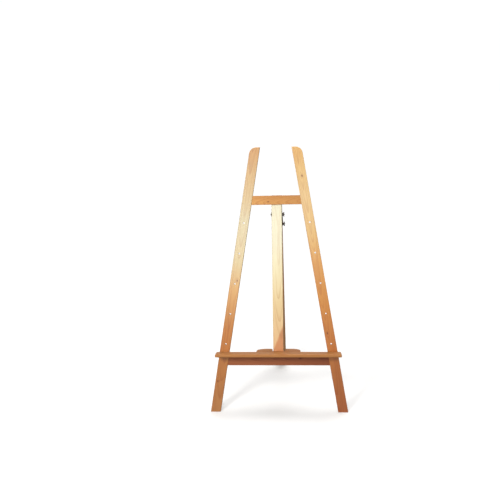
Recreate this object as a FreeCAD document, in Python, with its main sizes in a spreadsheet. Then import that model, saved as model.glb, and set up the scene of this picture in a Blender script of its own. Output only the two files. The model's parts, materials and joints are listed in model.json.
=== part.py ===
import FreeCAD, Part
import Sketcher
import math
import os

# Wooden studio easel. Two splayed side legs carry two crossbars and a central
# strut; a rear leg folds on a butt hinge behind the strut's head; a slotted
# steel stay with two wing nuts sets how far it opens; a forked tray slides up
# and down the strut.
#
# The front frame is drawn upright: X to the right, Y through the thickness
# (front faces at 0), Z up the slope. It is then leaned back by lean_deg.

V = FreeCAD.Vector
Rot = FreeCAD.Rotation
Pl = FreeCAD.Placement
XAX = V(1, 0, 0)

doc = FreeCAD.newDocument("Easel")
sheet = doc.addObject("Spreadsheet::Sheet", "Sheet")

SIZES = [
    ("lean_deg", 10.0),             # front frame from the vertical
    ("leg_length", 1700.0),         # up the slope
    ("leg_wide", 64.0),             # measured level, 63 square to the leg
    ("leg_thick", 22.0),
    ("foot_centre", 410.8),         # leg centre line from the middle, at the floor
    ("top_centre", 131.8),          # and at the top
    ("leg_top_round", 46.0),
    ("edge_round", 2.5),
    ("peg_hole_rad", 5.5),
    ("peg_first", 442.0),
    ("peg_pitch", 194.7),
    ("bar_recess", 3.0),            # crossbar faces behind the leg faces
    ("bar_thick", 19.0),
    ("upper_bar_low", 1335.0),
    ("upper_bar_top", 1393.0),
    ("lower_bar_low", 303.0),
    ("lower_bar_top", 372.3),
    ("dowel_rad", 5.0),
    ("dowel_half", 27.0),
    ("strut_wide", 66.0),
    ("strut_thick", 20.0),
    ("strut_low", 306.0),
    ("strut_top", 1384.5),
    ("block_low", 1298.0),
    ("block_thick", 20.0),
    ("hinge_wide", 60.0),
    ("hinge_drop", 36.0),
    ("leaf_thick", 1.8),
    ("leaf_gap", 0.4),              # half the gap between the closed leaves
    ("knuckle_rad", 4.0),
    ("pin_rad", 2.0),
    ("pin_slack", 0.06),
    ("pin_up", 1390.0),
    ("rear_wide", 66.0),
    ("rear_thick", 22.0),
    ("rear_foot_back", 790.0),      # front edge of the rear foot from the front feet
    ("rear_pivot_down", 213.5),     # lower bolt below the hinge pin
    ("pivot_up", 1273.0),           # upper bolt up the slope
    ("bolt_rad", 3.0),
    ("bolt_hole_rad", 3.2),
    ("bolt_reach", 52.0),
    ("bolt_head_rad", 5.77),
    ("bolt_head_high", 4.0),
    ("penny_rad", 15.0),
    ("washer_rad", 8.5),
    ("washer_thick", 1.6),
    ("stay_thick", 2.5),
    ("stay_wide", 25.0),
    ("stay_side", 11.0),            # from the pivot to the near long edge
    ("stay_over", 10.0),            # past the pivot
    ("stay_reach", 173.0),          # pivot to far end
    ("stay_hole_rad", 3.1),
    ("slot_half", 3.55),
    ("slot_arc_rad", 62.631),
    ("slot_arc_side", 57.482),
    ("slot_arc_down", 136.016),
    ("slot_near", 107.049),
    ("slot_far", 161.532),
    ("nut_hub_rad", 6.3),
    ("nut_tip_rad", 5.0),
    ("nut_hub_long", 8.5),
    ("nut_web", 2.6),
    ("nut_bore_rad", 3.06),
    ("ledge_long", 800.0),
    ("ledge_deep", 90.0),
    ("ledge_thick", 20.0),
    ("ledge_gap", 0.5),             # ledge to the legs' front faces
    ("ledge_low", 372.5),
    ("ledge_nose", 6.0),
    ("ledge_corner", 14.0),
    ("plate_wide", 284.0),
    ("plate_back", 100.0),
    ("plate_tongue", 35.0),
    ("plate_step", 9.0),
    ("fork_gap", 80.0),
    ("fork_front", 21.0),
    ("lobe_outer", 60.0),
    ("lobe_inner", 12.0),
    ("fork_root", 5.0),
    ("bridge_long", 224.0),
    ("bridge_front", 44.0),
    ("bridge_thick", 17.0),
    ("bridge_high", 17.0),
    ("screw_rad", 2.0),
    ("screw_head_rad", 4.0),
    ("screw_head_high", 2.4),
    ("leaf_screw_rad", 1.75),
    ("leaf_screw_head", 3.4),
]
SH = {}
for row, (name, value) in enumerate(SIZES):
    cell = "A%d" % (row + 1)
    sheet.set(cell, repr(value))
    sheet.setAlias(cell, name)
doc.recompute()
for name, value in SIZES:
    SH[name] = float(sheet.get(name))
S = type("S", (), SH)

LEAN = math.radians(S.lean_deg)


def val(expr):
    """Value of an expression in sheet names, worked out from the sheet."""
    obj = doc.addObject("App::FeaturePython", "Calc")
    obj.addProperty("App::PropertyFloat", "Value")
    obj.setExpression("Value", expr)
    obj.recompute()
    out = obj.Value
    doc.removeObject(obj.Name)
    return out


def body(label):
    b = doc.addObject("PartDesign::Body", label)
    b.Label = label
    return b


def plane(b, role):
    return [o for o in b.Origin.OriginFeatures if o.Role == role][0]


def sketch(b, role, name):
    sk = b.newObject("Sketcher::SketchObject", name)
    sk.AttachmentSupport = [(plane(b, role), "")]
    sk.MapMode = "FlatFace"
    return sk


def pin_point(sk, geo, pos, ex, ey, tag, vx, vy):
    """Fix a sketch point at two expressions."""
    for axis, e, v, line in (("X", ex, vx, -2), ("Y", ey, vy, -1)):
        if e == "0":
            sk.addConstraint(Sketcher.Constraint("PointOnObject", geo, pos, line))
            continue
        n = sk.addConstraint(Sketcher.Constraint("Distance" + axis, -1, 1, geo, pos, v))
        cname = "p%s%s" % (axis, tag)
        sk.renameConstraint(n, cname)
        sk.setExpression("Constraints." + cname, e)


def polygon(sk, pts):
    """Closed outline through points given as pairs of expressions."""
    n = len(pts)
    num = [(val(a), val(b)) for a, b in pts]
    for i in range(n):
        p, q = num[i], num[(i + 1) % n]
        sk.addGeometry(Part.LineSegment(V(p[0], p[1], 0), V(q[0], q[1], 0)), False)
    for i in range(n):
        sk.addConstraint(Sketcher.Constraint("Coincident", i, 2, (i + 1) % n, 1))
    for i in range(n):
        pin_point(sk, i, 1, pts[i][0], pts[i][1], str(i), num[i][0], num[i][1])


def circles(sk, rad, pts):
    for i, (ex, ey) in enumerate(pts):
        x, y, r = val(ex), val(ey), val(rad)
        sk.addGeometry(Part.Circle(V(x, y, 0), V(0, 0, 1), r), False)
        pin_point(sk, i, 3, ex, ey, str(i), x, y)
        n = sk.addConstraint(Sketcher.Constraint("Radius", i, r))
        sk.renameConstraint(n, "r%d" % i)
        sk.setExpression("Constraints.r%d" % i, rad)


def bind(obj, **kw):
    for k, e in kw.items():
        obj.setExpression(k, e)


def pad(b, sk, length, reverse=False, both=False, name="Pad"):
    p = b.newObject("PartDesign::Pad", name)
    p.Profile = sk
    p.setExpression("Length", length)
    p.Reversed = reverse
    if both:
        p.SideType = "Symmetric"
    doc.recompute()
    return p


def pocket_through(b, sk, name="Holes"):
    before = b.Shape.Volume
    p = b.newObject("PartDesign::Pocket", name)
    p.Profile = sk
    p.Type = "ThroughAll"
    p.SideType = "Symmetric"
    doc.recompute()
    if not b.Shape.Volume < before - 1.0:
        raise RuntimeError(name + " cut nothing")
    return p


def add_box(b, lx, ly, lz, pos, name="Block", cut=False):
    kind = "PartDesign::SubtractiveBox" if cut else "PartDesign::AdditiveBox"
    o = b.newObject(kind, name)
    bind(o, Length=lx, Width=ly, Height=lz)
    o.Placement = pos if isinstance(pos, Pl) else Pl(V(*pos), Rot())
    doc.recompute()
    return o


def add_cyl(b, rad, length, pos, axis, name="Bore", cut=True):
    before = b.Shape.Volume if cut else 0.0
    kind = "PartDesign::SubtractiveCylinder" if cut else "PartDesign::AdditiveCylinder"
    o = b.newObject(kind, name)
    bind(o, Radius=rad, Height=length)
    o.Placement = Pl(V(*pos), Rot(V(0, 0, 1), V(*axis)))
    doc.recompute()
    if cut and not b.Shape.Volume < before - 0.5:
        raise RuntimeError(b.Label + " " + name + " cut nothing")
    return o


def add_cone(b, r1, r2, height, pos, axis, name="Sink", cut=True):
    kind = "PartDesign::SubtractiveCone" if cut else "PartDesign::AdditiveCone"
    o = b.newObject(kind, name)
    bind(o, Radius1=r1, Radius2=r2, Height=height)
    o.Placement = Pl(V(*pos), Rot(V(0, 0, 1), V(*axis)))
    doc.recompute()
    return o


def edges_where(shape, test):
    out = []
    for i, e in enumerate(shape.Edges):
        if test(e):
            out.append("Edge%d" % (i + 1))
    return out


def fillet(b, test, radius, name="Round"):
    base = b.Tip
    names = edges_where(base.Shape, test)
    if not names:
        raise RuntimeError(b.Label + " " + name + ": no edges")
    f = b.newObject("PartDesign::Fillet", name)
    f.Base = (base, names)
    f.setExpression("Radius", radius)
    doc.recompute()
    if "Invalid" in f.State or f.Shape.isNull() or not f.Shape.isValid():
        raise RuntimeError(b.Label + " " + name + " failed")
    return f


def screw_holes(b, spots, axis, length, rad="Sheet.screw_rad"):
    """Blind or through screw holes, no countersink."""
    for i, p in enumerate(spots):
        add_cyl(b, rad, length, p, axis, "Pilot%d" % i)


def sink_holes(b, spots, axis, rad="Sheet.screw_rad", head="Sheet.screw_head_rad",
               high="Sheet.screw_head_high", length="60"):
    """Countersunk holes: mouth at the spot, running along axis."""
    for i, p in enumerate(spots):
        add_cyl(b, rad, length, p, axis, "Shank%d" % i)
        add_cone(b, head, rad, high, p, axis, "Sink%d" % i)


def screws(label, spots, axis, length, rad="Sheet.screw_rad",
           head="Sheet.screw_head_rad", high="Sheet.screw_head_high"):
    """Countersunk wood screws as one group of separate solids."""
    parts = []
    for i, p in enumerate(spots):
        r = Rot(V(0, 0, 1), V(*axis))
        c = doc.addObject("Part::Cylinder", "%s_shank%d" % (label, i))
        bind(c, Radius=rad, Height="%s - %s" % (length, rad))
        c.Placement = Pl(V(*p), r)
        k = doc.addObject("Part::Cone", "%s_head%d" % (label, i))
        bind(k, Radius1=head, Radius2=rad, Height=high)
        k.Placement = Pl(V(*p), r)
        tipc = doc.addObject("Part::Cone", "%s_tip%d" % (label, i))
        bind(tipc, Radius1=rad, Radius2=rad + "*0.2", Height=rad)
        end = V(*p) + V(*axis).multiply(val(length) - val(rad))
        tipc.Placement = Pl(end, r)
        # cross recess in the head
        bar1 = doc.addObject("Part::Box", "%s_slot%d" % (label, i))
        bind(bar1, Length=head + "*1.1", Width=head + "*0.22", Height=high + "*0.45")
        bar2 = doc.addObject("Part::Box", "%s_cross%d" % (label, i))
        bind(bar2, Length=head + "*0.22", Width=head + "*1.1", Height=high + "*0.45")
        hv = val(head)
        bar1.Placement = Pl(V(*p), r).multiply(Pl(V(-hv * 0.55, -hv * 0.11, 0), Rot()))
        bar2.Placement = Pl(V(*p), r).multiply(Pl(V(-hv * 0.11, -hv * 0.55, 0), Rot()))
        f = doc.addObject("Part::MultiFuse", "%s_screw%d" % (label, i))
        f.Shapes = [c, k, tipc]
        x = doc.addObject("Part::MultiFuse", "%s_recess%d" % (label, i))
        x.Shapes = [bar1, bar2]
        s = doc.addObject("Part::Cut", "%s_piece%d" % (label, i))
        s.Base = f
        s.Tool = x
        parts.append(s)
    g = doc.addObject("Part::Compound", label)
    g.Label = label
    g.Links = parts
    doc.recompute()
    return g


NODES = []          # (object, frame name)


def node(obj, frame):
    NODES.append((obj, frame))
    return obj


# ---------------------------------------------------------------- side legs
RUN = "(Sheet.foot_centre - Sheet.top_centre) / Sheet.leg_length"


def leg_x(v, side, off="0"):
    """X of the leg centre line at slope height v, plus an offset outward."""
    return "%d * (Sheet.foot_centre - %s * (%s) + (%s))" % (side, RUN, v, off)


def leg_mid(v):
    return S.foot_centre - (S.foot_centre - S.top_centre) / S.leg_length * v


def leg_inner(v):
    return leg_mid(v) - S.leg_wide / 2


DOWEL_V = [S.upper_bar_low + 15, S.upper_bar_top - 15, S.lower_bar_low + 18, S.lower_bar_top - 18]
DOWEL_Y = S.bar_recess + S.bar_thick / 2

for side, label in ((-1, "side_leg_left"), (1, "side_leg_right")):
    b = body(label)
    sk = sketch(b, "XZ_Plane", label + "_outline")
    half = "Sheet.leg_wide / 2"
    polygon(sk, [
        (leg_x("0", side, "-" + half), "0"),
        (leg_x("0", side, half), "0"),
        (leg_x("Sheet.leg_length", side, half), "Sheet.leg_length"),
        (leg_x("Sheet.leg_length", side, "-" + half), "Sheet.leg_length")])
    pad(b, sk, "Sheet.leg_thick", reverse=True)
    xo = side * (S.top_centre + S.leg_wide / 2)
    fillet(b, lambda e: all(abs(p.Point.x - xo) < 0.01 and abs(p.Point.z - S.leg_length) < 0.01
                            for p in e.Vertexes) and len(e.Vertexes) == 2,
           "Sheet.leg_top_round", "TopCorner")
    sk = sketch(b, "XZ_Plane", label + "_pegs")
    circles(sk, "Sheet.peg_hole_rad",
            [(leg_x("Sheet.peg_first + %d * Sheet.peg_pitch" % k, side),
              "Sheet.peg_first + %d * Sheet.peg_pitch" % k) for k in range(5)])
    pocket_through(b, sk, "PegHoles")
    # foot cut level with the floor
    x0 = side * S.foot_centre - 150
    floor = Pl(V(0, 0, 0), Rot(XAX, S.lean_deg)).multiply(Pl(V(x0, -20, -60), Rot()))
    add_box(b, "300", "80", "60", floor, "FloorCut", cut=True)

    def long_edge(e):
        if len(e.Vertexes) != 2:
            return False
        ys = [p.Point.y for p in e.Vertexes]
        zs = [p.Point.z for p in e.Vertexes]
        face = (all(abs(y) < 0.01 for y in ys) or all(abs(y - S.leg_thick) < 0.01 for y in ys))
        return face and not all(z < 10 for z in zs)
    fillet(b, long_edge, "Sheet.edge_round", "Arris")
    for k, v in enumerate(DOWEL_V):
        xi = side * leg_inner(v)
        add_cyl(b, "Sheet.dowel_rad", "Sheet.dowel_half * 2",
                (xi - S.dowel_half, DOWEL_Y, v), (1, 0, 0), "DowelBore%d" % k)
    node(b, "front")

# ---------------------------------------------------------------- crossbars
for label, lo, hi, vs in (("crossbar_upper", "Sheet.upper_bar_low", "Sheet.upper_bar_top", DOWEL_V[:2]),
                          ("crossbar_lower", "Sheet.lower_bar_low", "Sheet.lower_bar_top", DOWEL_V[2:])):
    b = body(label)
    sk = sketch(b, "XZ_Plane", label + "_outline")
    inner = "-Sheet.leg_wide / 2"
    polygon(sk, [(leg_x(lo, -1, inner), lo), (leg_x(lo, 1, inner), lo),
                 (leg_x(hi, 1, inner), hi), (leg_x(hi, -1, inner), hi)])
    pad(b, sk, "Sheet.bar_thick", reverse=True)

    def bar_edge(e):
        ps = [p.Point for p in e.Vertexes]
        return len(ps) == 2 and abs(ps[0].z - ps[1].z) < 0.01 and abs(ps[0].y - ps[1].y) < 0.01
    fillet(b, bar_edge, "Sheet.edge_round * 0.6", "Arris")
    for k, v in enumerate(vs):
        for side in (-1, 1):
            xi = side * leg_inner(v)
            add_cyl(b, "Sheet.dowel_rad", "Sheet.dowel_half * 2",
                    (xi - S.dowel_half, DOWEL_Y - S.bar_recess, v), (1, 0, 0), "DowelBore%d%d" % (k, side > 0))
    mid = [x for x in ((-18, vs[0] + 1), (18, vs[1] - 1))]
    STRUT_SCREWS = [(x, 0, v) for x, v in mid]
    screw_holes(b, [(x, S.bar_thick + 0.5, v) for x, _, v in STRUT_SCREWS], (0, -1, 0), "15.5")
    node(b, "bar")

dowels = []
for side in (-1, 1):
    for k, v in enumerate(DOWEL_V):
        xi = side * leg_inner(v)
        d = doc.addObject("Part::Cylinder", "dowel%d_%d" % (k, side > 0))
        bind(d, Radius="Sheet.dowel_rad", Height="Sheet.dowel_half * 2 - 2")
        d.Placement = Pl(V(xi - S.dowel_half + 1, DOWEL_Y, v), Rot(V(0, 0, 1), XAX))
        dowels.append(d)
g = doc.addObject("Part::Compound", "crossbar_dowels")
g.Label = "crossbar_dowels"
g.Links = dowels
node(g, "front")

# ---------------------------------------------------------------- strut and hinge block
STRUT_Y = S.bar_recess + S.bar_thick
STRUT_BACK = STRUT_Y + S.strut_thick
BLOCK_BACK = STRUT_BACK + S.block_thick
SPOTS = [(-18, DOWEL_V[0] + 1), (18, DOWEL_V[1] - 1), (-18, DOWEL_V[2] + 1), (18, DOWEL_V[3] - 1)]


def upright(e):
    ps = [p.Point for p in e.Vertexes]
    return len(ps) == 2 and abs(ps[0].x - ps[1].x) < 0.01 and abs(ps[0].y - ps[1].y) < 0.01


b = body("centre_strut")
add_box(b, "Sheet.strut_wide", "Sheet.strut_thick", "Sheet.strut_top - Sheet.strut_low",
        (-S.strut_wide / 2, STRUT_Y, S.strut_low), "Batten")
fillet(b, upright, "Sheet.edge_round * 0.8", "Arris")
sink_holes(b, [(x, STRUT_BACK, v) for x, v in SPOTS], (0, -1, 0))
screw_holes(b, [(x, STRUT_BACK + 0.5, S.block_low + 20) for x in (-18, 18)], (0, -1, 0), "15.5")
add_cyl(b, "Sheet.bolt_hole_rad", "200", (-100, STRUT_Y + S.strut_thick / 2, S.pivot_up), (1, 0, 0), "BoltHole")
node(b, "front")
node(screws("strut_screws", [(x, STRUT_BACK, v) for x, v in SPOTS], (0, -1, 0), "34"), "front")

b = body("hinge_block")
add_box(b, "Sheet.strut_wide", "Sheet.block_thick", "Sheet.strut_top - Sheet.block_low",
        (-S.strut_wide / 2, STRUT_BACK, S.block_low), "Batten")
fillet(b, upright, "Sheet.edge_round * 0.8", "Arris")
BLOCK_SPOTS = [(x, BLOCK_BACK, S.block_low + 20) for x in (-18, 18)]
sink_holes(b, BLOCK_SPOTS, (0, -1, 0))
PIN_Y = BLOCK_BACK + S.leaf_thick + S.leaf_gap
LEAF_SPOTS = [(-20, -14), (20, -14), (0, -27)]
screw_holes(b, [(x, BLOCK_BACK + 0.5, S.pin_up + z) for x, z in LEAF_SPOTS], (0, -1, 0), "15.5",
            "Sheet.leaf_screw_rad")
node(b, "front")
node(screws("block_screws", BLOCK_SPOTS, (0, -1, 0), "34"), "front")

# ---------------------------------------------------------------- butt hinge
# drawn about the pin: X along the pin, Y through the leaves, Z down is minus
FIXED = [(-30.0, -18.15), (-5.85, 5.85), (18.15, 30.0)]
MOVING = [(-17.85, -6.15), (6.15, 17.85)]
for label, sgn, knuckles, bore in (("hinge_leaf_fixed", -1, FIXED, "Sheet.pin_rad"),
                                   ("hinge_leaf_moving", 1, MOVING, "Sheet.pin_rad + Sheet.pin_slack")):
    b = body(label)
    y0 = -S.leaf_gap - S.leaf_thick if sgn < 0 else S.leaf_gap
    low = S.knuckle_rad + 0.5
    add_box(b, "Sheet.hinge_wide", "Sheet.leaf_thick", "Sheet.hinge_drop - Sheet.knuckle_rad - 0.5",
            (-S.hinge_wide / 2, y0, -S.hinge_drop), "Leaf")
    fillet(b, lambda e: len(e.Vertexes) == 2 and abs(e.Vertexes[0].Point.y - e.Vertexes[1].Point.y) > 1
           and all(p.Point.z < -S.hinge_drop + 0.1 for p in e.Vertexes), "3", "Corner")
    for k, (a, c) in enumerate(knuckles):
        add_box(b, "%.2f" % (c - a), "Sheet.leaf_thick", "Sheet.knuckle_rad + 1.5",
                (a, y0, -low - 1), "Tab%d" % k)
        add_cyl(b, "Sheet.knuckle_rad", "%.2f" % (c - a), (a, 0, 0), (1, 0, 0), "Knuckle%d" % k, cut=False)
    add_cyl(b, bore, "100", (-50, 0, 0), (1, 0, 0), "PinBore")
    if sgn < 0:
        sink_holes(b, [(x, -S.leaf_gap, z) for x, z in LEAF_SPOTS], (0, -1, 0),
                   "Sheet.leaf_screw_rad", "Sheet.leaf_screw_head", "Sheet.leaf_thick", "20")
    else:
        sink_holes(b, [(x, S.leaf_gap, z) for x, z in LEAF_SPOTS], (0, 1, 0),
                   "Sheet.leaf_screw_rad", "Sheet.leaf_screw_head", "Sheet.leaf_thick", "20")
    node(b, "hinge" if sgn < 0 else "rear")

pin = doc.addObject("Part::Cylinder", "pin_shank")
bind(pin, Radius="Sheet.pin_rad", Height="Sheet.hinge_wide")
pin.Placement = Pl(V(-S.hinge_wide / 2, 0, 0), Rot(V(0, 0, 1), XAX))
caps = []
for k, x in enumerate((-S.hinge_wide / 2 - 1.2, S.hinge_wide / 2)):
    c = doc.addObject("Part::Cylinder", "pin_cap%d" % k)
    bind(c, Radius="Sheet.pin_rad + 1", Height="1.2")
    c.Placement = Pl(V(x, 0, 0), Rot(V(0, 0, 1), XAX))
    caps.append(c)
f = doc.addObject("Part::MultiFuse", "hinge_pin")
f.Label = "hinge_pin"
f.Shapes = [pin] + caps
node(f, "hinge")
node(screws("hinge_screws_fixed", [(x, -S.leaf_gap, z) for x, z in LEAF_SPOTS], (0, -1, 0), "16",
            "Sheet.leaf_screw_rad", "Sheet.leaf_screw_head", "Sheet.leaf_thick"), "hinge")
node(screws("hinge_screws_moving", [(x, S.leaf_gap, z) for x, z in LEAF_SPOTS], (0, 1, 0), "16",
            "Sheet.leaf_screw_rad", "Sheet.leaf_screw_head", "Sheet.leaf_thick"), "rear")

# ---------------------------------------------------------------- rear leg
# the hinge pin in the leaned frame
PIN_W = (S.pin_up * math.sin(LEAN) + PIN_Y * math.cos(LEAN),
         S.pin_up * math.cos(LEAN) - PIN_Y * math.sin(LEAN))
FACE = S.leaf_gap + S.leaf_thick


def foot_reach(bb):
    s = (PIN_W[1] + FACE * math.sin(bb)) / math.cos(bb)
    return PIN_W[0] + FACE * math.cos(bb) + s * math.sin(bb)


lo, hi = 0.05, 0.8
for _ in range(60):
    mid_ = (lo + hi) / 2
    if foot_reach(mid_) < S.rear_foot_back:
        lo = mid_
    else:
        hi = mid_
REAR = (lo + hi) / 2
REAR_DEG = math.degrees(REAR)
P_REAR = Pl(V(0, PIN_W[0], PIN_W[1]), Rot(XAX, REAR_DEG))
REAR_LONG = PIN_W[1] / math.cos(REAR) + 40

b = body("rear_leg")
add_box(b, "Sheet.rear_wide", "Sheet.rear_thick", "%.3f" % (REAR_LONG - 5.5),
        (-S.rear_wide / 2, FACE, -REAR_LONG), "Batten")
cut = P_REAR.inverse().multiply(Pl(V(-100, S.rear_foot_back - 60, -80), Rot()))
add_box(b, "200", "200", "80", cut, "FloorCut", cut=True)
fillet(b, lambda e: len(e.Vertexes) == 2 and e.Length > 500, "Sheet.edge_round * 0.8", "Arris")
REAR_MID = FACE + S.rear_thick / 2
add_cyl(b, "Sheet.bolt_hole_rad", "200", (-100, REAR_MID, -S.rear_pivot_down), (1, 0, 0), "BoltHole")
screw_holes(b, [(x, FACE - 0.5, z) for x, z in LEAF_SPOTS], (0, 1, 0), "15.5", "Sheet.leaf_screw_rad")
node(b, "rear")

# ---------------------------------------------------------------- bolts, washers, wing nuts
HALF = S.strut_wide / 2
HEAD_X = -HALF - S.washer_thick
STAY_X = HALF + S.washer_thick + 0.1
NUT_X = STAY_X + S.stay_thick + 0.1 + S.washer_thick + 0.1
BOLTS = (("upper", 0.0, STRUT_Y + S.strut_thick / 2, S.pivot_up, "front"),
         ("lower", 0.0, REAR_MID, -S.rear_pivot_down, "rear"))
for tag, x, y, z, frame in BOLTS:
    b = body("pivot_bolt_" + tag)
    o = b.newObject("PartDesign::AdditivePrism", "Head")
    o.Polygon = 6
    bind(o, Circumradius="Sheet.bolt_head_rad", Height="Sheet.bolt_head_high")
    o.Placement = Pl(V(HEAD_X - S.bolt_head_high, y, z), Rot(V(0, 0, 1), XAX))
    doc.recompute()
    add_cyl(b, "Sheet.bolt_rad", "Sheet.bolt_reach - %.3f" % HEAD_X, (HEAD_X, y, z), (1, 0, 0), "Shank", cut=False)
    shank = b.Tip
    rim = edges_where(shank.Shape, lambda e: e.BoundBox.XMin > S.bolt_reach - 0.01)
    f = b.newObject("PartDesign::Chamfer", "End")
    f.Base = (shank, rim)
    f.Size = 0.8
    doc.recompute()
    node(b, frame)

    b = body("penny_washer_" + tag)
    add_cyl(b, "Sheet.penny_rad", "Sheet.washer_thick", (HEAD_X, y, z), (1, 0, 0), "Disc", cut=False)
    add_cyl(b, "Sheet.bolt_hole_rad", "20", (HEAD_X - 5, y, z), (1, 0, 0), "Bore")
    node(b, frame)

    rings = []
    for k, wx in enumerate((HALF, STAY_X + S.stay_thick + 0.1)):
        c1 = doc.addObject("Part::Cylinder", "disc_%s%d" % (tag, k))
        bind(c1, Radius="Sheet.washer_rad", Height="Sheet.washer_thick")
        c1.Placement = Pl(V(wx, y, z), Rot(V(0, 0, 1), XAX))
        c2 = doc.addObject("Part::Cylinder", "bore_%s%d" % (tag, k))
        bind(c2, Radius="Sheet.bolt_hole_rad", Height="Sheet.washer_thick * 3")
        c2.Placement = Pl(V(wx - S.washer_thick, y, z), Rot(V(0, 0, 1), XAX))
        c3 = doc.addObject("Part::Cut", "ring_%s%d" % (tag, k))
        c3.Base = c1
        c3.Tool = c2
        rings.append(c3)
    g = doc.addObject("Part::Compound", "stay_washers_" + tag)
    g.Label = "stay_washers_" + tag
    g.Links = rings
    node(g, frame)

for tag, x, y, z, frame in BOLTS:
    b = body("wing_nut_" + tag)
    sk = sketch(b, "XZ_Plane", "wings_" + tag)
    half_ = [(0.8, 6.0), (1.6, 9.0), (3.6, 13.0), (6.8, 15.4), (9.6, 14.6), (10.4, 12.0), (8.8, 8.6), (7.8, 5.0)]
    pts = half_ + [(a, -c) for a, c in reversed(half_)]
    polygon(sk, [("%.2f" % a, "%.2f" % c) for a, c in pts])
    pad(b, sk, "Sheet.nut_web", both=True)
    fillet(b, lambda e: len(e.Vertexes) == 2 and abs(e.Vertexes[0].Point.y - e.Vertexes[1].Point.y) > 1
           and abs(e.Vertexes[0].Point.z) > 13.0, "1.6", "Tips")
    add_cone(b, "Sheet.nut_hub_rad", "Sheet.nut_tip_rad", "Sheet.nut_hub_long", (0, 0, 0), (1, 0, 0), "Hub", cut=False)
    add_cyl(b, "Sheet.nut_bore_rad", "60", (-20, 0, 0), (1, 0, 0), "Thread")
    node(b, "nut_" + tag)

# ---------------------------------------------------------------- stay
# flat plate in YZ: pivot at the origin, length down minus Z; the curved slot
# follows the lower bolt while the leg folds
b = body("slotted_stay")
sk = sketch(b, "YZ_Plane", "stay_outline")
polygon(sk, [("-Sheet.stay_side", "-Sheet.stay_reach"), ("Sheet.stay_wide - Sheet.stay_side", "-Sheet.stay_reach"),
             ("Sheet.stay_wide - Sheet.stay_side", "Sheet.stay_over"), ("-Sheet.stay_side", "Sheet.stay_over")])
pad(b, sk, "Sheet.stay_thick")
fillet(b, lambda e: len(e.Vertexes) == 2 and abs(e.Vertexes[0].Point.x - e.Vertexes[1].Point.x) > 1,
       "Sheet.stay_wide * 0.36", "Ends")
add_cyl(b, "Sheet.stay_hole_rad", "20", (-8, 0, 0), (1, 0, 0), "PivotHole")
cy, cz, R = -S.slot_arc_side, -S.slot_arc_down, S.slot_arc_rad
a1 = math.atan2(-S.slot_far - cz, 0.0 - cy)
ny = -S.slot_arc_side + math.sqrt(R * R - (S.slot_arc_down - S.slot_near) ** 2)
a2 = math.atan2(-S.slot_near - cz, ny - cy)
extra = 0.35 / R
a1, a2 = a1 - extra, a2 + extra
sk = sketch(b, "YZ_Plane", "slot_outline")
Ro, Ri, hh = R + S.slot_half, R - S.slot_half, S.slot_half
C = V(cy, cz, 0)
e1 = V(cy + R * math.cos(a1), cz + R * math.sin(a1), 0)
e2 = V(cy + R * math.cos(a2), cz + R * math.sin(a2), 0)
sk.addGeometry(Part.ArcOfCircle(Part.Circle(C, V(0, 0, 1), Ro), a1, a2), False)
sk.addGeometry(Part.ArcOfCircle(Part.Circle(C, V(0, 0, 1), Ri), a1, a2), False)
sk.addGeometry(Part.ArcOfCircle(Part.Circle(e1, V(0, 0, 1), hh), a1 - math.pi, a1), False)
sk.addGeometry(Part.ArcOfCircle(Part.Circle(e2, V(0, 0, 1), hh), a2, a2 + math.pi), False)
pin_point(sk, 0, 3, "-Sheet.slot_arc_side", "-Sheet.slot_arc_down", "c", cy, cz)
for gi, e in ((0, "Sheet.slot_arc_rad + Sheet.slot_half"), (1, "Sheet.slot_arc_rad - Sheet.slot_half")):
    n = sk.addConstraint(Sketcher.Constraint("Radius", gi, val(e)))
    sk.renameConstraint(n, "rad%d" % gi)
    sk.setExpression("Constraints.rad%d" % gi, e)
sk.addConstraint(Sketcher.Constraint("Coincident", 0, 3, 1, 3))
for g1, p1, g2, p2 in ((2, 2, 0, 1), (2, 1, 1, 1), (3, 1, 0, 2), (3, 2, 1, 2)):
    sk.addConstraint(Sketcher.Constraint("Coincident", g1, p1, g2, p2))
pocket_through(b, sk, "Slot")
node(b, "stay")

# ---------------------------------------------------------------- tray
LEDGE_TOP = S.ledge_low + S.ledge_thick
TONGUE_SPOTS = [(x, -18.0, S.ledge_low) for x in (-112, -40, 40, 112)]
BRIDGE_SPOTS = [(x, S.bridge_front + S.bridge_thick / 2, S.ledge_low - S.bridge_high) for x in (-96, -68, 68, 96)]

b = body("tray_ledge")
add_box(b, "Sheet.ledge_long", "Sheet.ledge_deep", "Sheet.ledge_thick",
        (-S.ledge_long / 2, -S.ledge_gap - S.ledge_deep, S.ledge_low), "Batten")
fillet(b, lambda e: upright(e) and e.Vertexes[0].Point.y > -10, "Sheet.ledge_corner", "BackCorner")
fillet(b, lambda e: upright(e) and e.Vertexes[0].Point.y < -S.ledge_deep + 1 and e.Length > 15,
       "Sheet.ledge_corner * 0.4", "FrontCorner")
fillet(b, lambda e: len(e.Vertexes) == 2 and e.Length > 600 and e.Vertexes[0].Point.y < -50
       and abs(e.Vertexes[0].Point.z - e.Vertexes[1].Point.z) < 0.01, "Sheet.ledge_nose", "Nose")
add_box(b, "Sheet.plate_wide", "Sheet.plate_tongue + 5", "Sheet.plate_step",
        (-S.plate_wide / 2, -S.plate_tongue, S.ledge_low), "Housing", cut=True)
screw_holes(b, [(x, y, z + S.plate_step - 0.5) for x, y, z in TONGUE_SPOTS], (0, 0, 1), "7.2")
node(b, "front")

b = body("tray_plate")
sk = sketch(b, "XY_Plane", "plate_outline")
hw, fg = "Sheet.plate_wide / 2", "Sheet.fork_gap / 2"
polygon(sk, [("-" + hw, "-Sheet.plate_tongue"), (hw, "-Sheet.plate_tongue"), (hw, "Sheet.plate_back"),
             (fg, "Sheet.plate_back"), (fg, "Sheet.fork_front"), ("-" + fg, "Sheet.fork_front"),
             ("-" + fg, "Sheet.plate_back"), ("-" + hw, "Sheet.plate_back")])
pad(b, sk, "Sheet.ledge_thick")


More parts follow.
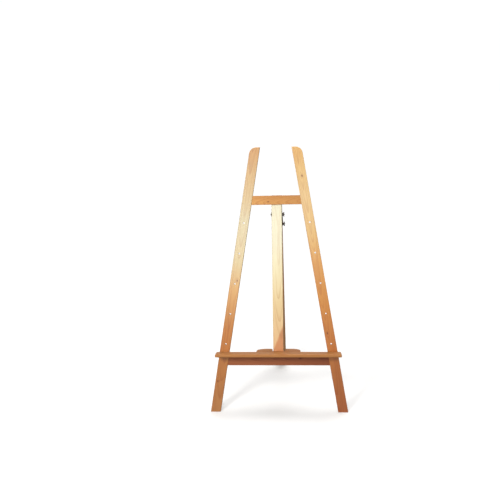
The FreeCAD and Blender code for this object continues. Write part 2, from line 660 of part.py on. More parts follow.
def corner(x, y):
    return lambda e: upright(e) and abs(abs(e.Vertexes[0].Point.x) - x) < 0.01 and abs(e.Vertexes[0].Point.y - y) < 0.01


fillet(b, corner(S.plate_wide / 2, S.plate_back), "Sheet.lobe_outer", "LobeOuter")
fillet(b, corner(S.fork_gap / 2, S.plate_back), "Sheet.lobe_inner", "LobeInner")
fillet(b, corner(S.fork_gap / 2, S.fork_front), "Sheet.fork_root", "ForkRoot")
add_box(b, "400", "100", "30", (-200, -100 - S.ledge_gap, S.plate_step), "Step", cut=True)
fillet(b, lambda e: all(abs(p.Point.z - S.ledge_thick) < 0.01 and p.Point.y > 30 for p in e.Vertexes)
       and len(e.Vertexes) == 2, "2", "TopArris")
sink_holes(b, [(x, y, 0) for x, y, z in TONGUE_SPOTS], (0, 0, 1))
screw_holes(b, [(x, y, -0.5) for x, y, z in BRIDGE_SPOTS], (0, 0, 1), "14.5")
node(b, "plate")
node(screws("tray_screws", TONGUE_SPOTS, (0, 0, 1), "15"), "front")

b = body("tray_bridge")
add_box(b, "Sheet.bridge_long", "Sheet.bridge_thick", "Sheet.bridge_high",
        (-S.bridge_long / 2, S.bridge_front, S.ledge_low - S.bridge_high), "Batten")
fillet(b, lambda e: e.Length > 100 and all(p.Point.z < S.ledge_low - 1 for p in e.Vertexes), "2", "Arris")
sink_holes(b, BRIDGE_SPOTS, (0, 0, 1))
node(b, "front")
node(screws("bridge_screws", BRIDGE_SPOTS, (0, 0, 1), "30"), "front")

# ---------------------------------------------------------------- placements
P_FRONT = Pl(V(0, 0, 0), Rot(XAX, -S.lean_deg))
# stay: turned so that its slot's far end meets the lower bolt
low = P_FRONT.inverse().multVec(P_REAR.multVec(V(0, REAR_MID, -S.rear_pivot_down)))
up = V(0, STRUT_Y + S.strut_thick / 2, S.pivot_up)
STAY_DEG = math.degrees(math.atan2(low.y - up.y, up.z - low.z))
reach = (low - up).Length
print("rear leg deg %.4f  stay deg %.4f  bolt spacing %.3f (slot far %.3f)" % (REAR_DEG, STAY_DEG, reach, S.slot_far))
FRAMES = {
    "front": P_FRONT,
    "bar": P_FRONT.multiply(Pl(V(0, S.bar_recess, 0), Rot())),
    "plate": P_FRONT.multiply(Pl(V(0, 0, S.ledge_low), Rot())),
    "hinge": P_FRONT.multiply(Pl(V(0, PIN_Y, S.pin_up), Rot())),
    "rear": P_REAR,
    "stay": P_FRONT.multiply(Pl(V(STAY_X, up.y, up.z), Rot(XAX, STAY_DEG))),
    "nut_upper": P_FRONT.multiply(Pl(V(NUT_X, up.y, up.z), Rot(XAX, 8))),
    "nut_lower": P_REAR.multiply(Pl(V(NUT_X, REAR_MID, -S.rear_pivot_down), Rot(XAX, -38))),
}
for obj, frame in NODES:
    obj.Placement = FRAMES[frame]
doc.recompute()
box = FreeCAD.BoundBox()
for obj, _ in NODES:
    box.add(obj.Shape.optimalBoundingBox(False))
back = Pl(V(-(box.XMin + box.XMax) / 2, -(box.YMin + box.YMax) / 2, -box.ZMin), Rot())
for obj, frame in NODES:
    obj.Placement = back.multiply(FRAMES[frame])
doc.recompute()

# ---------------------------------------------------------------- checks and output
for obj in doc.Objects:
    if "Invalid" in obj.State or "Error" in obj.State:
        raise RuntimeError("%s did not build: %s" % (obj.Label, obj.State))
for obj, _ in NODES:
    if obj.Shape.isNull() or not obj.Shape.isValid() or not obj.Shape.Solids:
        raise RuntimeError("%s has a bad shape" % obj.Label)
os.makedirs("parts", exist_ok=True)
total = FreeCAD.BoundBox()
for obj, _ in NODES:
    obj.Shape.exportStep("parts/%s.step" % obj.Label)
    total.add(obj.Shape.optimalBoundingBox(False))
    print("%-24s solids %d volume %.1f cm3" % (obj.Label, len(obj.Shape.Solids), obj.Shape.Volume / 1000))
print("box", total)
for k in ("hinge", "stay"):
    print(k, FRAMES[k].Base, back.multiply(FRAMES[k]).Base)
p = back.multiply(P_REAR).multVec(V(0, REAR_MID, -S.rear_pivot_down))
print("lower bolt", p, "nodes", len(NODES))
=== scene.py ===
import json
import math

import bmesh
import bpy
from mathutils import Euler, Matrix, Vector


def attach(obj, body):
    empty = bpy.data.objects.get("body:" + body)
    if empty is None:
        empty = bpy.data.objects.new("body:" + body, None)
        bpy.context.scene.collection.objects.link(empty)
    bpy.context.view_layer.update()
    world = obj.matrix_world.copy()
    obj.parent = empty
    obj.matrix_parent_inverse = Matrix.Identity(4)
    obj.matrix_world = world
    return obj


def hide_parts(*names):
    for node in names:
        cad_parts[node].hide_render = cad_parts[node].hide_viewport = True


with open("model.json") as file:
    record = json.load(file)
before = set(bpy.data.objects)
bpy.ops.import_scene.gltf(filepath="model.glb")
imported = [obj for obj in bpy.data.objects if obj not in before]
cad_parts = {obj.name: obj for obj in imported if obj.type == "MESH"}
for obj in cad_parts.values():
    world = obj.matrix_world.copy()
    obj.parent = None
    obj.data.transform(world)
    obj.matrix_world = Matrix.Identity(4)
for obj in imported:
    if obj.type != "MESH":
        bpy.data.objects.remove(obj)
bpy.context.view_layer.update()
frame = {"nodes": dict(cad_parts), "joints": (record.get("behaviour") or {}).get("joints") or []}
N = frame["nodes"]

LEAN = math.radians(10.0)
REAR = math.radians(19.5851)
SPLAY = math.atan2(410.8 - 131.8, 1700.0)

# ------------------------------------------------------------------ frames
# front frame: x across, w back from the legs' front faces, v up along them, leaned back 10 degrees
R_FRONT = Matrix.Rotation(-LEAN, 3, "X")
R_REAR = Matrix.Rotation(REAR, 3, "X")
Y_FEET = next(j for j in frame["joints"] if j["name"] == "rear_leg_fold")["pos_m"][1] - (
    1390 * math.sin(LEAN) + 64.2 * math.cos(LEAN)) / 1000


def front(x, w, v):
    """A point of the leaned front frame, in millimetres, as a row position in metres."""
    p = R_FRONT @ Vector((x, w, v))
    return Vector((p.x / 1000, p.y / 1000 + Y_FEET, p.z / 1000))


HINGE = front(0, 64.2, 1390)


def rear(x, y, z):
    p = R_REAR @ Vector((x, y, z))
    return Vector((p.x / 1000, p.y / 1000, p.z / 1000)) + HINGE


def lin(r, g, b):
    """sRGB 0-255 to linear."""
    out = []
    for c in (r, g, b):
        c /= 255.0
        out.append(c / 12.92 if c <= 0.04045 else ((c + 0.055) / 1.055) ** 2.4)
    return (*out, 1.0)


# ------------------------------------------------------------------ node helper
class Net:
    def __init__(self, name):
        self.mat = bpy.data.materials.new(name)
        self.mat.use_nodes = True
        self.t = self.mat.node_tree
        self.t.nodes.clear()
        self.out = self.t.nodes.new("ShaderNodeOutputMaterial")
        self.bsdf = self.t.nodes.new("ShaderNodeBsdfPrincipled")
        self.t.links.new(self.bsdf.outputs[0], self.out.inputs[0])

    def node(self, kind, **props):
        n = self.t.nodes.new(kind)
        for k, v in props.items():
            setattr(n, k, v)
        return n

    def put(self, sock, v):
        if isinstance(v, bpy.types.NodeSocket):
            self.t.links.new(v, sock)
        elif v is not None:
            if hasattr(sock.default_value, "__len__"):
                v = tuple(v)
                if len(v) == 3 and len(sock.default_value) == 4:
                    v = (*v, 1.0)
            sock.default_value = v

    def math(self, op, a, b=None, c=None, clamp=False):
        n = self.node("ShaderNodeMath", operation=op, use_clamp=clamp)
        self.put(n.inputs[0], a)
        if b is not None:
            self.put(n.inputs[1], b)
        if c is not None:
            self.put(n.inputs[2], c)
        return n.outputs[0]

    def add(self, a, b): return self.math("ADD", a, b)
    def sub(self, a, b): return self.math("SUBTRACT", a, b)
    def mul(self, a, b): return self.math("MULTIPLY", a, b)
    def maxi(self, a, b): return self.math("MAXIMUM", a, b)

    def vmath(self, op, a, b=None, scale=None):
        n = self.node("ShaderNodeVectorMath", operation=op)
        self.put(n.inputs[0], a)
        if b is not None:
            self.put(n.inputs[1], b)
        if scale is not None:
            self.put(n.inputs["Scale"], scale)
        return n.outputs["Value"] if op in ("LENGTH", "DOT_PRODUCT", "DISTANCE") else n.outputs["Vector"]

    def xyz(self, v):
        n = self.node("ShaderNodeSeparateXYZ")
        self.put(n.inputs[0], v)
        return n.outputs

    def comb(self, x, y, z):
        n = self.node("ShaderNodeCombineXYZ")
        for s, v in zip(n.inputs, (x, y, z)):
            self.put(s, v)
        return n.outputs[0]

    def noise(self, vec, scale=1.0, detail=2.0, rough=0.5, lac=2.0, dist=0.0, dims="3D", w=None):
        n = self.node("ShaderNodeTexNoise", noise_dimensions=dims)
        if dims == "1D":
            self.put(n.inputs["W"], w)
        else:
            self.put(n.inputs["Vector"], vec)
        self.put(n.inputs["Scale"], scale)
        self.put(n.inputs["Detail"], detail)
        self.put(n.inputs["Roughness"], rough)
        self.put(n.inputs["Lacunarity"], lac)
        self.put(n.inputs["Distortion"], dist)
        return n.outputs["Fac"] if "Fac" in n.outputs else n.outputs[0]

    def noise_col(self, vec, scale=1.0, detail=2.0, rough=0.5):
        n = self.node("ShaderNodeTexNoise")
        self.put(n.inputs["Vector"], vec)
        self.put(n.inputs["Scale"], scale)
        self.put(n.inputs["Detail"], detail)
        self.put(n.inputs["Roughness"], rough)
        return n.outputs["Color"]

    def ramp(self, fac, stops, interp="LINEAR"):
        n = self.node("ShaderNodeValToRGB")
        n.color_ramp.interpolation = interp
        el = n.color_ramp.elements
        while len(el) > 1:
            el.remove(el[-1])
        el[0].position = stops[0][0]
        el[0].color = self.rgba(stops[0][1])
        for p, c in stops[1:]:
            e = el.new(p)
            e.color = self.rgba(c)
        self.put(n.inputs[0], fac)
        return n.outputs["Color"]

    @staticmethod
    def rgba(c):
        if isinstance(c, (int, float)):
            return (c, c, c, 1.0)
        return tuple(c) if len(c) == 4 else (*c, 1.0)

    def step(self, v, lo, hi, smooth=True):
        n = self.node("ShaderNodeMapRange")
        n.interpolation_type = "SMOOTHSTEP" if smooth else "LINEAR"
        n.clamp = True
        self.put(n.inputs["Value"], v)
        self.put(n.inputs["From Min"], lo)
        self.put(n.inputs["From Max"], hi)
        self.put(n.inputs["To Min"], 0.0)
        self.put(n.inputs["To Max"], 1.0)
        return n.outputs["Result"]

    def mix(self, fac, a, b, blend="MIX"):
        n = self.node("ShaderNodeMix", data_type="RGBA", blend_type=blend)
        n.clamp_factor = True
        self.put(n.inputs[0], fac)
        self.put(n.inputs[6], a)
        self.put(n.inputs[7], b)
        return n.outputs[2]

    def bump(self, height, strength, distance, normal=None):
        n = self.node("ShaderNodeBump")
        self.put(n.inputs["Strength"], strength)
        self.put(n.inputs["Distance"], distance)
        self.put(n.inputs["Height"], height)
        if normal is not None:
            self.put(n.inputs["Normal"], normal)
        return n.outputs[0]


# ------------------------------------------------------------------ wood
def wood(name, rot, origin, half, pith, ring, pale, mid, dark, seed, tilt=(0.012, 0.03),
         tone_and_painted_light=None, knots=(), strength=1.0, painted_shadow_patch=None, coat=0.5, rough=0.42, spec=0.4):
    """Varnished softwood as a solid texture.

    rot      3x3 matrix, board axes to row axes: Z along the grain, X across the face, Y through
    origin   row position of the board's own origin, metres
    half     (x low, x high, y low, y high) of the section, metres, for the arrises
    pith     where the tree's centre lies in the board's section, metres
    ring     ring spacing, metres
    tone_and_painted_light   list of (z, factor) along the board: partly the wood's own tone, partly painted light, paler where the light falls strongest and darker where it falls off
    knots    list of (x, z, radius) metres
    """
    m = Net(name)
    tc = m.node("ShaderNodeTexCoord")
    mp = m.node("ShaderNodeMapping", vector_type="TEXTURE")
    m.put(mp.inputs["Vector"], tc.outputs["Object"])
    mp.inputs["Location"].default_value = tuple(origin)
    mp.inputs["Rotation"].default_value = tuple(rot.to_euler("XYZ"))
    L = mp.outputs[0]
    x, y, z = m.xyz(L)

    # slow wander of the rings, and small wobble
    off = Vector((seed * 1.37, seed * 2.11, seed * 0.73))
    big = m.noise_col(m.vmath("ADD", m.vmath("MULTIPLY", L, (5.0, 5.0, 1.3)), off), 1.0, 2.0, 0.5)
    small = m.noise_col(m.vmath("ADD", m.vmath("MULTIPLY", L, (34.0, 34.0, 3.2)), off), 1.0, 3.0, 0.55)
    bx, by, _ = m.xyz(m.vmath("SUBTRACT", big, (0.5, 0.5, 0.5)))
    sx, sy, _ = m.xyz(m.vmath("SUBTRACT", small, (0.5, 0.5, 0.5)))
    rx = m.add(m.sub(x, pith[0]), m.add(m.mul(bx, 0.034), m.mul(sx, 0.0022)))
    ry = m.add(m.sub(y, pith[1]), m.add(m.mul(by, 0.034), m.mul(sy, 0.0022)))
    rx = m.add(rx, m.mul(z, tilt[0]))
    ry = m.add(ry, m.mul(z, tilt[1]))

    knot_core = None
    knot_ring = None
    knot_glow = None
    for kx, kz, kr in knots:
        dx = m.sub(x, kx)
        dz = m.mul(m.sub(z, kz), 0.62)
        d2 = m.add(m.mul(dx, dx), m.mul(dz, dz))
        d = m.math("SQRT", d2)
        fall = m.math("EXPONENT", m.mul(d2, -1.0 / (kr * 3.0) ** 2))
        push = m.math("DIVIDE", m.mul(dx, m.mul(fall, kr * 1.5)), m.add(d, kr * 0.35))
        rx = m.add(rx, push)
        ry = m.add(ry, m.mul(fall, kr * 1.3))
        wob = m.mul(m.sub(m.noise(m.vmath("ADD", m.vmath("MULTIPLY", L, (160, 160, 120)), off), 1.0, 2.0), 0.5), kr * 0.45)
        dd = m.add(d, wob)
        core = m.sub(1.0, m.step(dd, kr * 0.80, kr * 1.12))
        glow = m.sub(1.0, m.step(dd, kr * 0.9, kr * 2.6))
        rings = m.math("SINE", m.mul(dd, 2 * math.pi / (kr * 0.34)))
        knot_core = core if knot_core is None else m.maxi(knot_core, core)
        knot_glow = glow if knot_glow is None else m.maxi(knot_glow, glow)
        knot_ring = rings if knot_ring is None else m.add(m.mul(rings, core), m.mul(knot_ring, m.sub(1.0, core)))

    r = m.math("SQRT", m.add(m.mul(rx, rx), m.mul(ry, ry)))
    turn = m.math("DIVIDE", r, ring)
    turn = m.add(turn, m.mul(m.noise(None, 0.55, 2.0, 0.5, dims="1D", w=m.add(turn, seed * 3.1)), 1.5))
    turn = m.add(turn, seed * 0.37)
    fr = m.math("FRACT", turn)
    late = m.ramp(fr, [(0.0, 0.10), (0.10, 0.0), (0.45, 0.10), (0.74, 0.62), (0.86, 1.0), (0.93, 0.9), (1.0, 0.10)], "EASE")
    ringpow = m.noise(None, 1.0, 0.0, 0.5, dims="1D", w=m.math("FLOOR", m.add(turn, seed)))
    late_f = m.mul(late, m.add(0.35, m.mul(ringpow, 1.25)))

    # fibres, pores and broad patches
    fib = m.noise(m.vmath("ADD", m.vmath("MULTIPLY", L, (620.0, 620.0, 9.0)), off), 1.0, 3.0, 0.6)
    fib2 = m.noise(m.vmath("ADD", m.vmath("MULTIPLY", L, (150.0, 150.0, 2.6)), off), 1.0, 3.0, 0.55)
    pore = m.step(m.noise(m.vmath("ADD", m.vmath("MULTIPLY", L, (900.0, 900.0, 38.0)), off), 1.0, 1.0, 0.5), 0.70, 0.78)
    patch = m.noise(m.vmath("ADD", m.vmath("MULTIPLY", L, (9.0, 9.0, 1.5)), off), 1.0, 3.0, 0.55)
    cloud = m.noise(m.vmath("ADD", m.vmath("MULTIPLY", L, (22.0, 22.0, 7.0)), off * 1.7), 1.0, 3.0, 0.5)

    tone = m.mix(m.mul(late_f, 0.78 * strength), pale, mid)
    tone = m.mix(m.mul(m.step(patch, 0.42, 0.68), 0.42 * strength), tone, mid)
    tone = m.mix(m.mul(m.mul(late_f, m.step(patch, 0.5, 0.75)), 0.45 * strength), tone, dark)
    tone = m.mix(m.mul(m.step(fib2, 0.52, 0.72), 0.22 * strength), tone, mid)
    tone = m.mix(m.mul(m.step(fib, 0.55, 0.80), 0.20 * strength), tone, dark)
    tone = m.mix(m.mul(pore, 0.28 * strength), tone, dark)
    light = tuple(min(1.0, c * 1.10 + 0.01) for c in pale[:3])
    tone = m.mix(m.mul(m.step(cloud, 0.55, 0.78), 0.20), tone, light)
    # painted shadow: a darker diagonal patch with a slanted edge across the lower right of the board, standing in for a
    # cast shadow
    if painted_shadow_patch is not None:
        hx, hz, hslope, hcol, hamt = painted_shadow_patch
        wob = m.mul(m.sub(m.noise(m.vmath("ADD", m.vmath("MULTIPLY", L, (30, 30, 6)), off), 1.0, 3.0), 0.5), 0.03)
        line = m.add(m.add(m.sub(x, hx), m.mul(m.sub(hz, z), hslope)), wob)
        tone = m.mix(m.mul(m.step(line, -0.006, 0.010), hamt), tone,
                     m.mix(m.mul(late_f, 0.6), hcol, tuple(c * 0.72 for c in hcol[:3])))
    if knot_core is not None:
        kcol = m.mix(m.step(knot_ring, -0.2, 0.9), tuple(c * 0.55 for c in dark[:3]), tuple(c * 0.85 for c in dark[:3]))
        tone = m.mix(m.mul(knot_glow, 0.55), tone, dark)
        tone = m.mix(m.mul(knot_core, 0.92), tone, kcol)
    # painted light: this ramp along the board makes it paler where the light falls strongest and darker where it falls
    # off, on top of the wood's own tone
    if tone_and_painted_light is not None:
        lo, hi = tone_and_painted_light[0][0], tone_and_painted_light[-1][0]
        zz = m.step(m.add(z, m.mul(m.sub(patch, 0.5), 0.12)), lo, hi, smooth=False)
        sh = m.ramp(zz, [((p - lo) / (hi - lo), c) for p, c in tone_and_painted_light])
        tone = m.mix(1.0, tone, sh, "MULTIPLY")

    # arrises: varnish gathers and the corners rub
    xl, xh, yl, yh = half
    cx, hx2, cy, hy2 = (xl + xh) / 2, (xh - xl) / 2, (yl + yh) / 2, (yh - yl) / 2
    ex = m.sub(hx2, m.math("ABSOLUTE", m.sub(x, cx)))
    ey = m.sub(hy2, m.math("ABSOLUTE", m.sub(y, cy)))
    near = m.add(m.maxi(ex, 0.0), m.maxi(ey, 0.0))
    wobble = m.mul(m.sub(m.noise(m.vmath("ADD", m.vmath("MULTIPLY", L, (60, 60, 16)), off), 1.0, 4.0, 0.65), 0.5), 0.006)
    edge = m.sub(1.0, m.step(m.add(near, wobble), 0.0008, 0.0050))
    rub = m.mul(m.sub(1.0, m.step(m.add(near, wobble), 0.0000, 0.0022)),
                m.step(m.noise(m.vmath("ADD", m.vmath("MULTIPLY", L, (25, 25, 9)), off), 1.0, 4.0, 0.6), 0.52, 0.66))
    tone = m.mix(m.mul(edge, 0.34), tone, m.mix(0.5, tone, tuple(c * 0.55 for c in dark[:3])))
    tone = m.mix(m.mul(rub, 0.5), tone, tuple(min(1, c * 1.12) for c in pale[:3]))

    # end grain soaks up varnish
    nrm = m.vmath("DOT_PRODUCT", tc.outputs["Normal"], tuple(rot @ Vector((0, 0, 1))))
    endg = m.step(m.math("ABSOLUTE", nrm), 0.80, 0.96)
    tone = m.mix(m.mul(endg, 0.62), tone, m.mix(m.mul(late_f, 0.8), tuple(c * 0.62 for c in dark[:3]), tuple(c * 0.34 for c in dark[:3])))

    # small dents and handling marks
    scuff = m.step(m.noise(m.vmath("ADD", m.vmath("MULTIPLY", L, (70, 70, 30)), off * 2.3), 1.0, 4.0, 0.7), 0.66, 0.74)
    tone = m.mix(m.mul(scuff, 0.10), tone, dark)
    m.put(m.bsdf.inputs["Base Color"], tone)

    rg = m.add(rough, m.mul(m.sub(fib2, 0.5), 0.14))
    rg = m.add(rg, m.mul(late_f, -0.05))
    rg = m.add(rg, m.mul(endg, 0.16))
    rg = m.add(rg, m.mul(scuff, 0.10))
    rg = m.math("MINIMUM", m.maxi(rg, 0.16), 0.8)
    m.put(m.bsdf.inputs["Roughness"], rg)
    m.bsdf.inputs["IOR"].default_value = 1.48
    m.bsdf.inputs["Coat Weight"].default_value = coat
    m.bsdf.inputs["Coat Roughness"].default_value = 0.26
    m.bsdf.inputs["Specular IOR Level"].default_value = spec
    m.bsdf.inputs["Coat IOR"].default_value = 1.5
    h1 = m.add(m.mul(fib, 0.25), m.mul(late_f, 0.35))
    h1 = m.sub(h1, m.mul(pore, 0.5))
    h1 = m.sub(h1, m.mul(scuff, 0.6))
    bump = m.bump(h1, 0.30, 0.0004)
    wave = m.noise(m.vmath("ADD", m.vmath("MULTIPLY", L, (45, 45, 7)), off), 1.0, 2.0, 0.5)
    bump = m.bump(wave, 0.12, 0.0015, bump)
    m.put(m.bsdf.inputs["Normal"], bump)
    return m.mat


def metal(name, base, tint, rough, seed, brushed=None, dirt=0.25, grain=1.0, metallic=1.0):
    """Plated or blackened steel and brass with streaks and duller dark spots."""
    m = Net(name)
    tc = m.node("ShaderNodeTexCoord")
    P = m.vmath("ADD", tc.outputs["Object"], (seed, seed * 0.7, seed * 0.3))
    big = m.noise(P, 90.0, 3.0, 0.6)
    fine = m.noise(P, 900.0 * grain, 3.0, 0.6)
    spots = m.step(m.noise(P, 260.0, 4.0, 0.7), 0.60, 0.72)
    stretch = brushed or (1500.0, 60.0, 60.0)
    line = m.noise(m.vmath("MULTIPLY", P, stretch), 1.0, 2.0, 0.5)
    col = m.mix(m.step(big, 0.35, 0.70), base, tint)
    col = m.mix(m.mul(m.step(line, 0.45, 0.75), 0.25), col, tuple(min(1, c * 1.25) for c in base[:3]))
    col = m.mix(m.mul(spots, dirt), col, tuple(c * 0.30 for c in base[:3]))
    m.put(m.bsdf.inputs["Base Color"], col)
    m.bsdf.inputs["Metallic"].default_value = metallic
    rg = m.add(rough, m.mul(m.sub(big, 0.5), 0.25))
    rg = m.add(rg, m.mul(m.sub(line, 0.5), 0.16))
    rg = m.add(rg, m.mul(spots, 0.18))
    m.put(m.bsdf.inputs["Roughness"], m.math("MINIMUM", m.maxi(rg, 0.14), 0.85))
    h = m.add(m.mul(fine, 0.4), m.mul(line, 0.6))
    m.put(m.bsdf.inputs["Normal"], m.bump(h, 0.25, 0.00008))
    return m.mat


def set_mat(node, mat):
    o = N[node]
    if not o.material_slots:
        o.data.materials.append(mat)
    for s in o.material_slots:
        s.material = mat


def turn_y(deg):
    return Matrix.Rotation(math.radians(deg), 3, "Y")


# ------------------------------------------------------------------ boards
def tones(r, g, b):
    """Early wood, late wood and deep tone around a mean albedo."""
    return ((r * 1.10, g * 1.17, b * 1.25, 1), (r * 0.87, g * 0.74, b * 0.62, 1), (r * 0.62, g * 0.42, b * 0.32, 1))


def along_board(base, stops):
    """Tone of the board from foot to head as factors of its mean albedo: partly the wood's own tone, partly painted
    light, paler where the light falls strongest and darker where it falls off.
    """
    return [(z, tuple(c / b for c, b in zip(col, base))) for z, col in stops]


splay = math.degrees(SPLAY)
LEG_HALF = (-0.0316, 0.0316, 0.0, 0.022)

# The legs' stops make each leg paler higher up and darker towards its foot: partly the wood's own tone, partly painted
# light where the light falls from above.
b_ = (0.46, 0.28, 0.10)
set_mat("side_leg_left", wood(
    "pine_leg_left", R_FRONT @ turn_y(splay), front(-410.8, 0, 0), LEG_HALF, (0.012, 0.075), 0.0042,
    *tones(*b_), 1.3, tilt=(0.010, 0.022), strength=0.9,
    tone_and_painted_light=along_board(b_, [(0.0, (0.37, 0.145, 0.040)), (0.24, (0.37, 0.128, 0.022)), (0.42, (0.40, 0.137, 0.018)), (0.55, (0.44, 0.154, 0.018)),
                           (0.80, (0.53, 0.27, 0.07)), (0.98, (0.47, 0.34, 0.145)), (1.26, (0.43, 0.335, 0.16)),
                           (1.38, (0.44, 0.30, 0.105)), (1.56, (0.48, 0.30, 0.100)), (1.70, (0.48, 0.25, 0.075))]),
    knots=((0.013, 0.865, 0.0036), (-0.016, 0.20, 0.0032))))
b_ = (0.52, 0.25, 0.08)
set_mat("side_leg_right", wood(
    "pine_leg_right", R_FRONT @ turn_y(-splay), front(410.8, 0, 0), LEG_HALF, (-0.020, 0.060), 0.0038,
    *tones(*b_), 4.9, tilt=(-0.012, 0.026), strength=0.95,
    tone_and_painted_light=along_board(b_, [(0.0, (0.32, 0.084, 0.019)), (0.26, (0.36, 0.107, 0.016)), (0.50, (0.43, 0.138, 0.018)),
                           (0.78, (0.51, 0.195, 0.02)), (0.98, (0.55, 0.25, 0.045)), (1.16, (0.56, 0.33, 0.095)),
                           (1.42, (0.62, 0.42, 0.17)), (1.58, (0.63, 0.42, 0.15)), (1.70, (0.61, 0.36, 0.11))]),
    knots=((0.002, 1.535, 0.0046), (-0.012, 0.52, 0.0036))))
# The upper crossbar's stops darken it towards its right end: painted shade where the light falls off.
b_ = (0.50, 0.225, 0.055)
set_mat("crossbar_upper", wood(
    "pine_bar_upper", R_FRONT @ turn_y(90), front(0, 3, 1364), (-0.029, 0.029, 0.0, 0.019), (0.010, 0.050), 0.0036,
    *tones(*b_), 7.7, tilt=(0.03, 0.05), knots=((0.010, -0.052, 0.003),), coat=0.0, rough=0.5, spec=0.3,
    tone_and_painted_light=along_board(b_, [(-0.22, (0.53, 0.245, 0.060)), (0.0, (0.48, 0.215, 0.052)), (0.22, (0.43, 0.185, 0.045))])))
# The lower crossbar is darker than the other boards: partly its own tone, partly painted shade for the shadow under the
# ledge; its stops darken it further towards the right, painted shade where the light falls off.
b_ = (0.25, 0.070, 0.021)
set_mat("crossbar_lower", wood(
    "pine_bar_lower", R_FRONT @ turn_y(90), front(0, 3, 338), (-0.0346, 0.0346, 0.0, 0.019), (-0.014, 0.055), 0.0040,
    *tones(*b_), 9.1, tilt=(0.02, 0.03), knots=((-0.012, 0.14, 0.0042),), coat=0.0, rough=0.5, spec=0.3,
    tone_and_painted_light=along_board(b_, [(-0.40, (0.28, 0.083, 0.025)), (0.0, (0.25, 0.070, 0.021)), (0.40, (0.195, 0.050, 0.016))])))
# The strut's stops run paler towards its head, partly painted light; its diagonal patch is a painted shadow over the
# lower right.
b_ = (0.62, 0.49, 0.26)
set_mat("centre_strut", wood(
    "pine_strut", R_FRONT, front(0, 22, 0), (-0.033, 0.033, 0.0, 0.020), (0.016, 0.085), 0.0046,
    *tones(*b_), 2.6, tilt=(0.006, 0.018), strength=0.7,
    tone_and_painted_light=along_board(b_, [(0.30, (0.62, 0.37, 0.17)), (0.50, (0.64, 0.41, 0.19)), (0.72, (0.64, 0.47, 0.22)),
                           (0.90, (0.63, 0.52, 0.28)), (1.10, (0.59, 0.53, 0.34)), (1.40, (0.58, 0.52, 0.33))]),
    painted_shadow_patch=(0.006, 0.50, 0.42, (0.50, 0.235, 0.085), 0.85)))
b_ = (0.40, 0.18, 0.06)
set_mat("hinge_block", wood(
    "pine_block", R_FRONT @ turn_y(90), front(0, 42, 1340), (-0.0433, 0.0433, 0.0, 0.020), (0.010, 0.040), 0.0036,
    *tones(*b_), 5.5, tilt=(0.02, 0.03)))
# The rear leg's tone is darker than the front legs: partly its own tone, partly painted shade standing in for the
# strut's shadow on it.
b_ = (0.36, 0.175, 0.066)
set_mat("rear_leg", wood(
    "pine_leg_rear", R_REAR, HINGE, (-0.033, 0.033, 0.0022, 0.0242), (-0.010, 0.072), 0.0040,
    *tones(*b_), 6.2, tilt=(-0.008, 0.020),
    knots=((0.012, -0.72, 0.0042), (-0.014, -0.33, 0.0032), (-0.004, -1.18, 0.0038))))
b_ = (0.37, 0.148, 0.040)
LEDGE = (-0.020, 0.0, -0.0905, -0.0005)
set_mat("tray_ledge", wood(
    "pine_ledge", R_FRONT @ turn_y(90), front(0, 0, 372.5), LEDGE, (0.055, -0.020), 0.0040,
    *tones(*b_), 8.4, tilt=(0.03, 0.02), coat=0.0, rough=0.5, spec=0.25))
b_ = (0.34, 0.135, 0.040)
set_mat("tray_plate", wood(
    "pine_plate", R_FRONT @ turn_y(90), front(0, 0, 372.5), (-0.020, 0.0, -0.035, 0.100), (0.050, 0.060), 0.0042,
    *tones(*b_), 3.8, tilt=(0.03, 0.05), coat=0.0, rough=0.55, spec=0.2))
set_mat("tray_bridge", wood(
    "pine_bridge", R_FRONT @ turn_y(90), front(0, 44, 355.5), (-0.017, 0.0, 0.0, 0.017), (0.020, 0.030), 0.0034,
    *tones(*b_), 11.3, tilt=(0.02, 0.02), coat=0.0, rough=0.5, spec=0.25))
set_mat("crossbar_dowels", wood(
    "beech_dowel", R_FRONT @ turn_y(90), front(0, 12.5, 1364), (-2, 2, -2, 2), (0.004, 0.003), 0.0020,
    *tones(0.50, 0.30, 0.14), 12.9))

ZINC2 = metal("zinc_screw", (0.52, 0.46, 0.32), (0.40, 0.34, 0.22), 0.36, 2.4)
BLACK = metal("blackened_steel", (0.085, 0.062, 0.05), (0.05, 0.036, 0.03), 0.46, 3.3, dirt=0.4)
DARK = metal("darkened_washer", (0.12, 0.09, 0.07), (0.06, 0.045, 0.035), 0.48, 6.1, dirt=0.4)
BOLT = metal("darkened_bolt", (0.16, 0.12, 0.09), (0.08, 0.06, 0.045), 0.40, 7.3, dirt=0.35)
STAY = metal("stay_steel", (0.15, 0.13, 0.105), (0.10, 0.085, 0.07), 0.42, 4.2, brushed=(60, 60, 900))
BRASS = metal("brass_plate", (0.62, 0.44, 0.19), (0.48, 0.32, 0.13), 0.34, 5.1, brushed=(40, 900, 900))
BRASSY = metal("brass_screw", (0.60, 0.42, 0.18), (0.46, 0.31, 0.13), 0.36, 8.2)
for n in ("hinge_leaf_fixed", "hinge_leaf_moving", "hinge_pin"):
    set_mat(n, BRASS)
set_mat("slotted_stay", STAY)

# ------------------------------------------------------------------ fittings
# Each builder works in millimetres in its own frame, with X along the bolt or screw.
def place(point, rot, turn=0.0):
    m = (rot @ Matrix.Rotation(math.radians(turn), 3, "X")).to_4x4()
    m.translation = point
    return m @ Matrix.Scale(0.001, 4)


def along(point, rot, axis):
    """Frame whose X runs along axis of the given frame, for screws."""
    x = Vector(axis).normalized()
    other = Vector((1, 0, 0)) if abs(x.x) < 0.9 else Vector((0, 1, 0))
    y = x.cross(other).normalized()
    z = x.cross(y)
    m = (rot @ Matrix((x, y, z)).transposed()).to_4x4()
    m.translation = point
    return m @ Matrix.Scale(0.001, 4)


